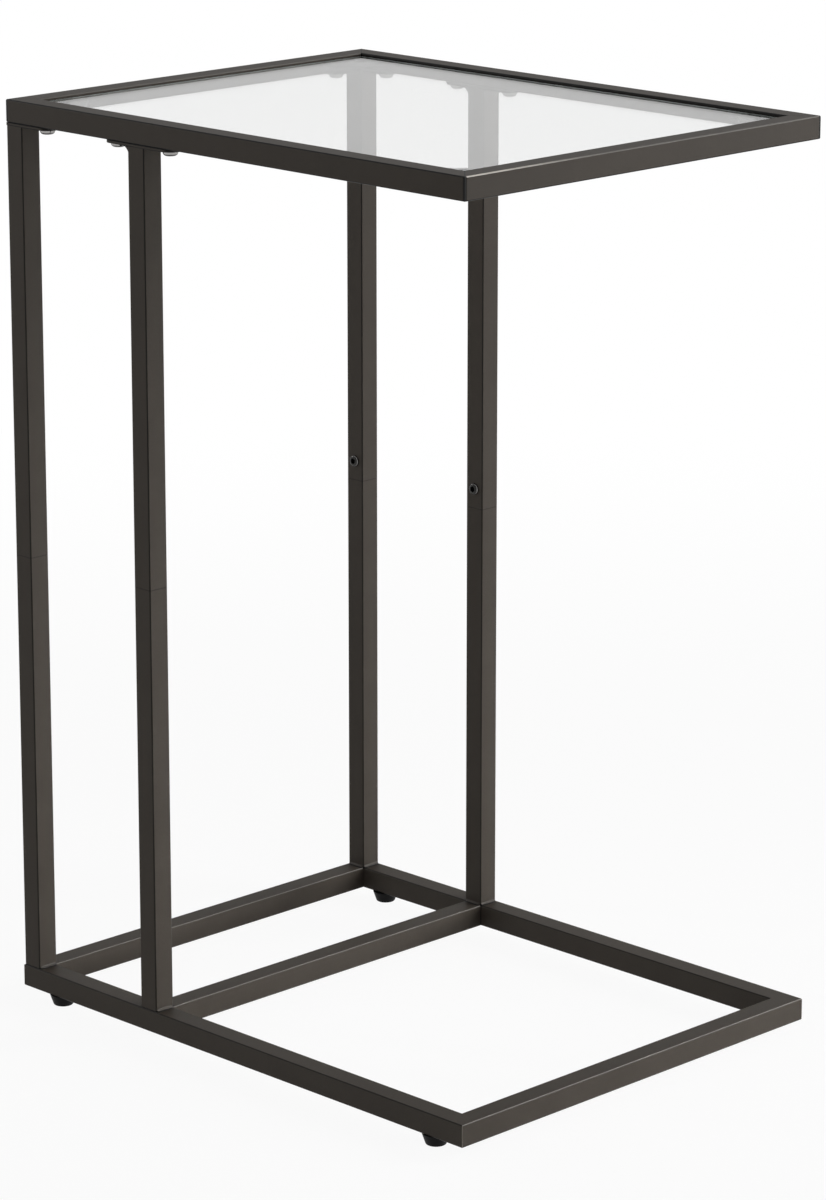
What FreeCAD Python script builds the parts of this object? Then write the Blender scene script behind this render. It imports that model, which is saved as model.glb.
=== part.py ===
"""C-shaped side table: a square-tube frame in knock-down halves with a glass top.

Frame of reference: +X runs from the legs to the open end, +Y from the front side to the
rear side, +Z up. The origin is on the floor, under the middle of the table. Millimetres.

The base and the top are both mitred rectangles of square tube. Four legs near one end carry
the top: two at the corners and two a hand's width further in. Each leg is a lower tube welded
to the base and an upper tube welded to a plate. A sleeve and one screw join the two tubes,
and two screws hold each plate under the top. The glass lies inside the top's rails on four
pads, and four levelling feet screw into the base.
"""
import FreeCAD
import Part
import os

V = FreeCAD.Vector
UP = V(0, 0, 1)
DOWN = V(0, 0, -1)

# ---- overall sizes ----
table_length = 440.0
table_depth = 340.0
table_height = 650.0

# ---- square tube of the base, the legs and the top ----
tube = 16.0
tube_wall = 1.2
tube_corner = 1.0
mid_leg_start = 125.0           # from the leg end's outer face to the middle legs
base_overhang = 0.6             # base rails' outer faces beyond those of the top and the legs

# ---- glass, and the tabs and pads that carry it ----
glass_thickness = 5.0
glass_recess = 2.0              # glass surface below the top of the rails
glass_edge_gap = 1.0            # between the glass and the rails, all round
glass_corner = 3.0
glass_bevel = 0.5
tab_side = 38.0                 # along each rail
tab_tip = 7.0                   # width left at the clipped tips
tab_thickness = 2.0
pad_diameter = 10.0
pad_thickness = 1.0
pad_inset = 12.0                # pad centre from the inner face of either rail

# ---- screws with a domed head and a hexagonal socket ----
screw_diameter = 6.0
screw_length = 10.0
head_diameter = 10.5
head_height = 3.3
head_flat = 5.6                 # diameter of the flat round the socket
leg_head_diameter = 8.6         # the leg screws' narrower, lower head
leg_head_height = 2.0
leg_head_flat = 5.0
head_rim = 0.7                  # straight band below the dome
socket_across = 4.0
socket_depth = 2.0
screw_sides = 20
screw_play = 0.3                # radial, where a screw passes through a plain hole
thread_play = 0.08              # radial, between a screw and its nut

# ---- hexagonal nuts, welded inside the tubes ----
nut_across = 10.0
nut_thickness = 5.0

# ---- plates that join the legs to the top ----
plate_thickness = 2.0
plate_reach = 18.0              # from the leg's face to the screw's centre

# ---- sleeves that join the leg halves ----
sleeve_play = 0.15              # between the sleeve and the leg, each side
sleeve_wall = 1.5
sleeve_below = 50.0
sleeve_above = 36.0
joint_screw_rise = 14.5         # screw's centre above the seam between the halves

# ---- weld beads ----
foot_bead = 2.0
plate_bead = 6.5

# ---- levelling feet ----
foot_height = 8.0
foot_top_diameter = 19.0
foot_bottom_diameter = 14.5
foot_edge = 1.2                 # the worn-round edge at the bottom
foot_sides = 36
foot_inset = 32.0               # from the base's end face to the foot's centre
bolt_length = 12.0
bolt_head_thickness = 4.0

# ---- heights and places that follow ----
half_length = table_length / 2
half_depth = table_depth / 2
half_tube = tube / 2
base_z = foot_height
base_top_z = base_z + tube
frame_z = table_height - tube
leg_top_z = frame_z - plate_thickness
seam_z = (base_top_z + leg_top_z) / 2
joint_screw_z = seam_z + joint_screw_rise
glass_z = table_height - glass_recess - glass_thickness
tab_top_z = glass_z - pad_thickness
leg_line = half_depth - half_tube
corner_leg_x = -half_length + half_tube
mid_leg_x = -half_length + mid_leg_start + half_tube
screw_reach = half_tube + plate_reach

# name: centre of the leg in X and Y, and the way from it towards the table's middle in Y
LEGS = {
    "corner_front": (corner_leg_x, -leg_line, 1),
    "corner_rear": (corner_leg_x, leg_line, -1),
    "mid_front": (mid_leg_x, -leg_line, 1),
    "mid_rear": (mid_leg_x, leg_line, -1),
}
FEET = {
    "front_leg_end": (-half_length + foot_inset, -leg_line),
    "rear_leg_end": (-half_length + foot_inset, leg_line),
    "front_open_end": (half_length - foot_inset, -leg_line),
    "rear_open_end": (half_length - foot_inset, leg_line),
}
# side of a rectangular frame: length, distance of its outer face, turn about Z
SIDES = {
    "front": (table_length, half_depth, 0),
    "rear": (table_length, half_depth, 180),
    "leg_end": (table_depth, half_length, -90),
    "open_end": (table_depth, half_length, 90),
}


# ---- shapes used in several places ----
def moved(shape, x, y, z):
    """Return a copy of the shape, moved."""
    return shape.translated(V(x, y, z))


def aimed(shape, direction, x, y, z):
    """Return a copy of a shape made along +Z, turned to the direction, its origin moved."""
    copy = shape.copy()
    copy.Placement = FreeCAD.Placement(V(x, y, z), FreeCAD.Rotation(UP, direction))
    return copy


def square_bar(side, length):
    """Return a sharp-edged square bar along +Z, centred on the axis."""
    return Part.makeBox(side, side, length, V(-side / 2, -side / 2, 0))


def upright_edges(shape):
    """Return the shape's straight edges that run along Z."""
    return [edge for edge in shape.Edges if abs(edge.tangentAt(edge.FirstParameter).z) > 0.5]


def frame_bar(length):
    """Return the outer shape of the frame's tube along +Z, with rounded long edges."""
    bar = square_bar(tube, length)
    return bar.makeFillet(tube_corner, upright_edges(bar))


def frame_tube(length):
    """Return a length of the frame's tube along +Z, centred on the axis."""
    return frame_bar(length).cut(square_bar(tube - 2 * tube_wall, length))


def polygon(corners):
    """Return the flat face inside a closed outline of corners."""
    return Part.Face(Part.makePolygon(corners + corners[:1]))


def prism(outline, height, z):
    """Return an upright prism on a closed outline of (x, y) points."""
    return polygon([V(x, y, z) for x, y in outline]).extrude(V(0, 0, height))


def ring(radius, sides, z):
    """Return the corners of a regular polygon round the Z axis, the first of them on +Y."""
    turns = [FreeCAD.Rotation(UP, 360 * n / sides) for n in range(sides)]
    return [turn.multVec(V(0, radius, z)) for turn in turns]


def turned(points, sides):
    """Return a turned solid, with many flats in place of its round to keep its mesh light.

    The points are (radius, height) pairs along the outside, from its bottom to its top.
    """
    rings = [ring(radius, sides, z) for radius, z in points]
    faces = [polygon(rings[0]), polygon(rings[-1])]
    for low, high in zip(rings, rings[1:]):
        for n in range(sides):
            faces.append(polygon([low[n - 1], low[n], high[n], high[n - 1]]))
    shell = Part.makeShell(faces)
    shell.sewShape()
    return Part.makeSolid(shell).removeSplitter()


def screw_drill(play, depth):
    """Return what a drill for the screws takes out, from Z=0 up, with a radial play."""
    radius = screw_diameter / 2 + play
    return turned([(radius, 0), (radius, depth)], screw_sides)


# ---- fasteners, made along +Z ----
def hexagon(across, height, z):
    """Return an upright hexagonal prism, two of its corners on the Y axis."""
    return polygon(ring(across / 3 ** 0.5, 6, z)).extrude(V(0, 0, height))


def domed_screw(across, height, across_flat):
    """Return a screw with its seat at Z=0, a head of the given size above it and its shank below."""
    shank, rim, flat = screw_diameter / 2, across / 2, across_flat / 2
    brow = rim - (rim - flat) * 0.3, head_rim + (height - head_rim) * 0.7
    body = turned([
        (shank, -screw_length),
        (shank, 0),
        (rim, 0),
        (rim, head_rim),
        brow,
        (flat, height),
    ], screw_sides)
    return body.cut(hexagon(socket_across, socket_depth, height - socket_depth))


def hex_nut():
    """Return a nut standing on Z=0."""
    return hexagon(nut_across, nut_thickness, 0).cut(screw_drill(thread_play, nut_thickness))


def foot_bolt():
    """Return a hexagon-headed bolt, head down, the head's top at Z=0."""
    head = hexagon(nut_across, bolt_head_thickness, -bolt_head_thickness)
    return head.fuse(screw_drill(0, bolt_length))


def plate_screw_places():
    """Return where each leg plate's two screws stand, as (x, y), under the leg's name."""
    places = {}
    for name, (x, y, inward) in LEGS.items():
        if name.startswith("corner"):
            places[name] = [(x + screw_reach, y), (x, y + inward * screw_reach)]
        else:
            places[name] = [(x - screw_reach, y), (x + screw_reach, y)]
    return places


# ---- rails ----
def side_bar(side, bottom_z, overhang, hollow):
    """Return one side of a rectangular frame, its ends cut at 45 degrees to meet the next."""
    length, outer_face, turn = SIDES[side]
    length, outer_face = length + 2 * overhang, outer_face + overhang
    bar = frame_tube(length) if hollow else frame_bar(length)
    bar = aimed(bar, V(1, 0, 0), -length / 2, half_tube - outer_face, bottom_z + half_tube)
    half = length / 2
    ends = prism(
        [(-half, -outer_face), (half, -outer_face),
         (half - tube, tube - outer_face), (tube - half, tube - outer_face)],
        tube, bottom_z,
    )
    return bar.common(ends).rotate(V(0, 0, 0), UP, turn)


def drilled(rail, bottom_z, places):
    """Return the rail with a hole through its bottom wall for a screw at each place."""
    drill = screw_drill(screw_play, tube_wall)
    for x, y in places:
        rail = rail.cut(moved(drill, x, y, bottom_z))
    return rail


def on_side(side, places):
    """Return the places that lie over one side's rail."""
    length, outer_face, turn = SIDES[side]
    centre = FreeCAD.Rotation(UP, turn).multVec(V(0, half_tube - outer_face, 0))
    if side in ("front", "rear"):
        return [(x, y) for x, y in places if abs(y - centre.y) < half_tube]
    return [(x, y) for x, y in places if abs(x - centre.x) < half_tube]


def coped(bar, bearers):
    """Return the bar cut to the shape of the bars that it is welded against."""
    for bearer in bearers:
        bar = bar.cut(bearer)
    return bar


def make_rails(nodes):
    """Make the top's and the base's rails, with their screw holes, and the cross rail."""
    screws = [place for pair in plate_screw_places().values() for place in pair]
    long_bars = []
    for side in SIDES:
        top = side_bar(side, frame_z, 0, hollow=True)
        nodes["top_rail_" + side] = drilled(top, frame_z, on_side(side, screws))
        base = side_bar(side, base_z, base_overhang, hollow=True)
        feet = on_side(side, FEET.values()) if side in ("front", "rear") else []
        nodes["base_rail_" + side] = drilled(base, base_z, feet)
        if side in ("front", "rear"):
            long_bars.append(side_bar(side, base_z, base_overhang, hollow=False))
    length = table_depth + 2 * base_overhang - 2 * tube + 2 * tube_corner
    cross = aimed(frame_tube(length), V(0, 1, 0), mid_leg_x, -length / 2, base_z + half_tube)
    nodes["base_cross_rail"] = coped(cross, long_bars)


# ---- legs ----
def make_legs(nodes):
    """Make the lower and upper tube of each leg, its plate, and the sleeve inside it."""
    bearers = [side_bar(side, base_z, base_overhang, hollow=False) for side in SIDES]
    cross = aimed(frame_bar(table_depth), V(0, 1, 0), mid_leg_x, -half_depth, base_z + half_tube)
    bearers.append(cross)
    drill = screw_drill(screw_play, tube)
    sleeve_side = tube - 2 * tube_wall - 2 * sleeve_play
    screws = plate_screw_places()
    lower_z = base_top_z - tube_corner
    lower_bar, upper_bar = frame_tube(seam_z - lower_z), frame_tube(leg_top_z - seam_z)
    sleeve_length = sleeve_below + sleeve_above
    sleeve_bar = square_bar(sleeve_side, sleeve_length).cut(
        square_bar(sleeve_side - 2 * sleeve_wall, sleeve_length))
    for name, (x, y, inward) in LEGS.items():
        hole = aimed(drill, V(0, inward, 0), x, y, joint_screw_z)
        nodes[name + "_leg_lower"] = coped(moved(lower_bar, x, y, lower_z), bearers)
        nodes[name + "_leg_upper"] = moved(upper_bar, x, y, seam_z).cut(hole)
        nodes[name + "_sleeve"] = moved(sleeve_bar, x, y, seam_z - sleeve_below).cut(hole)
    for kind in ("corner", "mid"):
        nodes[kind + "_leg_plates"] = Part.makeCompound(
            [leg_plate(x, y, screws[name]) for name, (x, y, _) in LEGS.items() if name.startswith(kind)])


def leg_plate(x, y, screws):
    """Return the plate on a leg: a round-ended arm from the leg to each of its screws."""
    hole = screw_drill(screw_play, plate_thickness)
    end = Part.makeCylinder(half_tube, plate_thickness)
    plate = Part.makeBox(tube, tube, plate_thickness, V(x - half_tube, y - half_tube, leg_top_z))
    for screw_x, screw_y in screws:
        low = V(min(x, screw_x), min(y, screw_y), 0)
        high = V(max(x, screw_x), max(y, screw_y), 0)
        wide_x = 0 if screw_x != x else half_tube
        wide_y = 0 if screw_y != y else half_tube
        arm = Part.makeBox(
            high.x - low.x + 2 * wide_x, high.y - low.y + 2 * wide_y, plate_thickness,
            V(low.x - wide_x, low.y - wide_y, leg_top_z),
        )
        plate = plate.fuse(arm).fuse(moved(end, screw_x, screw_y, leg_top_z))
    for screw_x, screw_y in screws:
        plate = plate.cut(moved(hole, screw_x, screw_y, leg_top_z))
    return plate.removeSplitter()


# ---- welds ----
def bead(size, x, y, z, outward, up):
    """Return a hollow-faced weld bead along one flat of a leg, at its foot or its head.

    The leg's centre is (x, y), z is the face that it stands on or hangs from, outward is the
    way from the leg over that face, and up is 1 at a foot and -1 at a head.
    """
    run = tube - 2 * tube_corner
    along = V(-outward.y, outward.x, 0)
    heel = V(x, y, z) + outward * half_tube - along * (run / 2)
    toe = heel + outward * size
    tip = heel + UP * (up * size)
    hollow = heel + (outward + UP * up) * (size * 0.36)
    edges = [Part.makeLine(heel, toe), Part.Arc(toe, hollow, tip).toShape(), Part.makeLine(tip, heel)]
    return Part.Face(Part.Wire(edges)).extrude(along * run)


def make_welds(nodes):
    """Make the beads round each leg's foot, and the one behind each middle leg's head."""
    at_feet, at_heads = [], []
    for name, (x, y, inward) in LEGS.items():
        ways = [V(1, 0, 0), V(0, inward, 0)]
        if name.startswith("mid"):
            ways.append(V(-1, 0, 0))
            at_heads.append(bead(plate_bead, x, y, leg_top_z, V(-1, 0, 0), -1))
        at_feet += [bead(foot_bead, x, y, base_top_z, way, 1) for way in ways]
    nodes["leg_foot_welds"] = Part.makeCompound(at_feet)
    nodes["leg_plate_welds"] = Part.makeCompound(at_heads)


# ---- fasteners in their places ----
def make_fasteners(nodes):
    """Make the screws, and the nuts that they and the feet's bolts turn in."""
    plate_screw = domed_screw(head_diameter, head_height, head_flat)
    leg_screw = domed_screw(leg_head_diameter, leg_head_height, leg_head_flat)
    nut = hex_nut()
    plate_screws = [place for pair in plate_screw_places().values() for place in pair]
    nut_back = half_tube - tube_wall - sleeve_play - sleeve_wall - nut_thickness
    groups = {
        "plate_screws": [aimed(plate_screw, DOWN, x, y, leg_top_z) for x, y in plate_screws],
        "top_rail_nuts": [moved(nut, x, y, frame_z + tube_wall) for x, y in plate_screws],
        "base_rail_nuts": [moved(nut, x, y, base_z + tube_wall) for x, y in FEET.values()],
        "leg_screws": [aimed(leg_screw, V(0, inward, 0), x, y + inward * half_tube, joint_screw_z)
                       for x, y, inward in LEGS.values()],
        "leg_nuts": [aimed(nut, V(0, inward, 0), x, y + inward * nut_back, joint_screw_z)
                     for x, y, inward in LEGS.values()],
    }
    for name, pieces in groups.items():
        nodes[name] = Part.makeCompound(pieces)


# ---- glass, tabs and pads ----
def make_glass(nodes):
    """Make the glass, and the tab and pad under each of its corners."""
    inner_x, inner_y = half_length - tube, half_depth - tube
    wide, deep = 2 * (inner_x - glass_edge_gap), 2 * (inner_y - glass_edge_gap)
    pane = Part.makeBox(wide, deep, glass_thickness, V(-wide / 2, -deep / 2, glass_z))
    pane = pane.makeFillet(glass_corner, upright_edges(pane))
    rims = [edge for face in pane.Faces if abs(face.normalAt(0, 0).z) > 0.9 for edge in face.Edges]
    nodes["glass_top"] = pane.makeChamfer(glass_bevel, rims)
    pads = []
    for x_way, x_name in ((-1, "leg_end"), (1, "open_end")):
        for y_way, y_name in ((-1, "front"), (1, "rear")):
            corner = "_" + y_name + "_" + x_name
            outline = [(0, 0), (tab_side, 0), (tab_side, tab_tip), (tab_tip, tab_side), (0, tab_side)]
            outline = [(x_way * (inner_x - x), y_way * (inner_y - y)) for x, y in outline]
            nodes["glass_tab" + corner] = prism(outline, tab_thickness, tab_top_z - tab_thickness)
            pads.append(Part.makeCylinder(
                pad_diameter / 2, pad_thickness,
                V(x_way * (inner_x - pad_inset), y_way * (inner_y - pad_inset), tab_top_z),
            ))
    nodes["glass_pads"] = Part.makeCompound(pads)


# ---- feet ----
def make_feet(nodes):
    """Make each levelling foot: a tapered plastic foot moulded round the head of a bolt."""
    bottom, top = foot_bottom_diameter / 2, foot_top_diameter / 2
    bolt = moved(foot_bolt(), 0, 0, foot_height)
    foot = turned([
        (bottom - foot_edge, 0),
        (bottom - foot_edge * 0.3, foot_edge * 0.3),
        (bottom, foot_edge),
        (top, foot_height),
    ], foot_sides).cut(bolt)
    for name, (x, y) in FEET.items():
        nodes["foot_" + name] = moved(foot, x, y, 0)
        nodes["foot_bolt_" + name] = moved(bolt, x, y, 0)


def main():
    """Make every node and write it as one STEP file."""
    nodes = {}
    make_rails(nodes)
    make_legs(nodes)
    make_welds(nodes)
    make_fasteners(nodes)
    make_glass(nodes)
    make_feet(nodes)
    os.makedirs("parts", exist_ok=True)
    for name, shape in nodes.items():
        shape.exportStep("parts/" + name + ".step")


main()
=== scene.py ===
"""Dresses the C-shaped side table: coated tube frame, clear glass top, screws, pads and feet.

Lengths are in metres, in the table's own frame: +X runs from the legs to the open end, +Y from
the front side to the rear side, +Z up, with the origin on the floor under the table's middle.
"""
import logging
import math
from collections.abc import Callable, Iterator
from contextlib import contextmanager
from dataclasses import dataclass, field
from enum import Enum
from typing import Any

import bmesh
import bpy
from bpy.types import Material, Node, NodeSocket, NodeTree, Object, World
from mathutils import Matrix, Vector


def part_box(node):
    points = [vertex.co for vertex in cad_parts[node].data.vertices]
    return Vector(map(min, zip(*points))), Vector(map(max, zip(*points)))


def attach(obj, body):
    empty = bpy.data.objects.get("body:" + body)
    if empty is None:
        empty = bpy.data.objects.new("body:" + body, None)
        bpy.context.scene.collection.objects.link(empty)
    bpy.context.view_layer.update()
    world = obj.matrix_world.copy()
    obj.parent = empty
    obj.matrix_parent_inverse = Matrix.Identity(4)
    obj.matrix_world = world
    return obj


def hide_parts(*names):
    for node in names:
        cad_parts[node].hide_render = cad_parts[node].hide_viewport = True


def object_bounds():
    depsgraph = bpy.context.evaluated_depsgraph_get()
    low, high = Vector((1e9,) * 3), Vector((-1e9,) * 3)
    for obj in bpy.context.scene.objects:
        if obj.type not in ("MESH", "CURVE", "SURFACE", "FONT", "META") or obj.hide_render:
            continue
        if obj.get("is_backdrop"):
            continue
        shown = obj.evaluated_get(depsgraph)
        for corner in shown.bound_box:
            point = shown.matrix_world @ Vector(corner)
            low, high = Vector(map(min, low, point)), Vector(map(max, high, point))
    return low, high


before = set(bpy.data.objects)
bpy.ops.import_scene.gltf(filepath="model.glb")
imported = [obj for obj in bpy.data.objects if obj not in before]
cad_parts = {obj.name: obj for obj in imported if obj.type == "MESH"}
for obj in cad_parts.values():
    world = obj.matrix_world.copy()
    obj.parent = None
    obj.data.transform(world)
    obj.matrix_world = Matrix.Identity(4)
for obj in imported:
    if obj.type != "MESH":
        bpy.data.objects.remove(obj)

LOG = logging.getLogger("side_table")
TABLE_BODY = "table"
MM = 0.001
UP = Vector((0.0, 0.0, 1.0))
WHITE = (1.0, 1.0, 1.0, 1.0)

Pair = tuple[float, float]
Colour = tuple[float, float, float]
Point = tuple[float, float, float]


class Corner(Enum):
    """The four corners of the table, as the frame's pieces name them."""

    FRONT_LEG_END = "front_leg_end"
    REAR_LEG_END = "rear_leg_end"
    FRONT_OPEN_END = "front_open_end"
    REAR_OPEN_END = "rear_open_end"


# ---- shader graphs ----
SMOOTH = {"interpolation_type": "SMOOTHSTEP"}
COLOURS = {"data_type": "RGBA"}
LINE_CORE = 0.5  # share of a line's reach with a full mask
OCTAVE_SHARE = 0.55  # strength of each finer octave of a grain
PATCHES = (0.35, 0.65)  # where a grain passes between two colours
CREST_START = 0.55  # tilt at which the narrowest crest mask starts
CREST_RUN = 0.16  # tilt over which a crest mask rises
EDGE_TURN = (0.03, 0.13)  # turn from flat over which the narrowest edge mask rises
WIDEST_FALL = 0.85  # how far the widest edge mask lowers that turn
COAT_INDEX = 1.5  # refractive index of a coating, and of ground glass


class Wire:
    """An output socket that takes part in sums and products like a number."""

    def __init__(self, graph: "Graph", socket: NodeSocket) -> None:
        """Keep an output socket, and the graph that new nodes go into."""
        self.graph = graph
        self.socket = socket

    def _with(self, operation: str, first: Any, second: Any) -> "Wire":
        """Return the result of a Math node on two wires or numbers."""
        node = self.graph.add("ShaderNodeMath", {"operation": operation}, {0: first, 1: second})
        return Wire(self.graph, node.outputs[0])

    def __add__(self, other: Any) -> "Wire":
        """Return this wire plus another or a number."""
        return self._with("ADD", self, other)

    def __sub__(self, other: Any) -> "Wire":
        """Return this wire less another or a number."""
        return self._with("SUBTRACT", self, other)

    def __rsub__(self, other: Any) -> "Wire":
        """Return a number less this wire."""
        return self._with("SUBTRACT", other, self)

    def __mul__(self, other: Any) -> "Wire":
        """Return this wire times another or a number."""
        return self._with("MULTIPLY", self, other)

    __radd__ = __add__
    __rmul__ = __mul__

    def at_least(self, floor: Any) -> "Wire":
        """Return the greater of this wire and another or a number."""
        return self._with("MAXIMUM", self, floor)

    def magnitude(self) -> "Wire":
        """Return this wire without its sign."""
        return self._with("ABSOLUTE", self, 0.0)

    def near(self, value: float, reach: float) -> "Wire":
        """Return 1 where this wire is at the value, falling to 0 where it is out of reach."""
        return 1.0 - (self - value).magnitude().between(LINE_CORE * reach, reach)

    def between(self, low: float, high: float) -> "Wire":
        """Return a smooth step, 0 up to the low value and 1 from the high one."""
        steps = {"Value": self, "From Min": low, "From Max": high}
        return Wire(self.graph, self.graph.add("ShaderNodeMapRange", SMOOTH, steps).outputs[0])


class Graph:
    """Builds the node tree of one material or world."""

    def __init__(self, tree: NodeTree) -> None:
        """Start with a tree that is cleared and then filled."""
        self.tree = tree
        tree.nodes.clear()

    def add(self, kind: str, settings: dict[str, Any], sockets: dict[Any, Any]) -> Node:
        """Add a node.

        Args:
            kind: the node's Blender type.
            settings: its properties, by name.
            sockets: values, wires or sockets for its inputs, by name or index.

        Returns:
            The new node.
        """
        node = self.tree.nodes.new(kind)
        for name, value in settings.items():
            setattr(node, name, value)
        for key, value in sockets.items():
            if isinstance(value, Wire):
                value = value.socket
            if isinstance(value, NodeSocket):
                self.tree.links.new(value, node.inputs[key])
            else:
                node.inputs[key].default_value = value
        return node

    def place(self) -> NodeSocket:
        """Return the surface point in the table's own frame."""
        return self.add("ShaderNodeTexCoord", {}, {}).outputs["Object"]

    def parts(self, vector: NodeSocket) -> tuple[Wire, Wire, Wire]:
        """Return a vector's X, Y and Z."""
        split = self.add("ShaderNodeSeparateXYZ", {}, {"Vector": vector})
        return tuple(Wire(self, split.outputs[n]) for n in range(3))

    def axes(self) -> tuple[Wire, Wire, Wire]:
        """Return the surface point's X, Y and Z in the table's own frame."""
        return self.parts(self.place())

    def facing(self) -> tuple[Wire, Wire, Wire]:
        """Return the X, Y and Z of the surface's normal in the table's own frame."""
        return self.parts(self.add("ShaderNodeTexCoord", {}, {}).outputs["Normal"])

    def edges(self, width: float) -> tuple[Wire, Wire]:
        """Tell a tube's rounded edges from its flat faces by the way that the surface faces.

        Args:
            width: how much of an edge's rounding both masks take, from 0 to 1.

        Returns:
            A mask of 1 along every edge, and one of 1 along the crests of the upper edges that
            run across the table, where a highlight is painted.
        """
        x, y, up = self.facing()
        x, y = x.magnitude(), y.magnitude()
        flatness = x.at_least(y).at_least(up.magnitude())
        low, tilt = CREST_START * (1.0 - width), 1.0 - WIDEST_FALL * width
        crest = x.between(low, low + CREST_RUN) * up.between(low, low + CREST_RUN)
        start, full = EDGE_TURN
        return (1.0 - flatness).between(start * tilt, full * tilt), crest

    def seen(self) -> Wire:
        """Tell the rays that carry what is looked at from those that light the table.

        Returns:
            A mask of 1 for what is seen straight on, in a shine or through glass.
        """
        path = self.add("ShaderNodeLightPath", {}, {})
        seen = Wire(self, path.outputs["Is Camera Ray"])
        for ray in ("Is Glossy Ray", "Is Transmission Ray"):
            seen = seen.at_least(Wire(self, path.outputs[ray]))
        return seen

    def grain(self, size: float, detail: float = 2.0) -> Wire:
        """Make a noise that is fixed to the table.

        Args:
            size: how far across its patches are, in metres.
            detail: how many finer octaves it has.

        Returns:
            The noise, from 0 to 1.
        """
        node = self.add("ShaderNodeTexNoise", {}, {
            "Vector": self.place(), "Scale": 1.0 / size, "Detail": detail,
            "Roughness": OCTAVE_SHARE,
        })
        return Wire(self, node.outputs[0])

    def blend(self, share: Any, first: Any, second: Any) -> NodeSocket:
        """Return a mix of two colours or sockets, by the share of the second."""
        low, high = ((*c, 1.0) if isinstance(c, tuple) else c for c in (first, second))
        return self.add("ShaderNodeMix", COLOURS, {0: share, 6: low, 7: high}).outputs[2]

    def principled(self, sockets: dict[str, Any]) -> NodeSocket:
        """Return a Principled shader with these inputs."""
        return self.add("ShaderNodeBsdfPrincipled", {}, sockets).outputs[0]

    def relief(self, height: Wire, depth: float) -> NodeSocket:
        """Return a normal for a surface that stands proud by the given depth where height is 1."""
        sockets = {"Strength": 1.0, "Distance": depth, "Height": height}
        return self.add("ShaderNodeBump", {}, sockets).outputs[0]

    def output(self, shader: NodeSocket) -> None:
        """Connect a shader to the surface of the material or world."""
        kind = "World" if isinstance(self.tree.id_data, World) else "Material"
        self.add("ShaderNodeOutput" + kind, {}, {"Surface": shader})


def new_material(name: str) -> tuple[Material, Graph]:
    """Make an empty node material.

    Args:
        name: the finish's name.

    Returns:
        The material, and the graph that fills it.
    """
    material = bpy.data.materials.new(name)
    material.use_nodes = True
    return material, Graph(material.node_tree)


# ---- finishes ----
class Seam(Enum):
    """The joint lines that show through a piece's coating."""

    NONE = "none"
    CORNERS = "corners"
    LEG_HALVES = "leg_halves"
    MITRES = "mitres"
    CROSS_ENDS = "cross_ends"
    PLATES = "plates"
    FEET = "feet"


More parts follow.
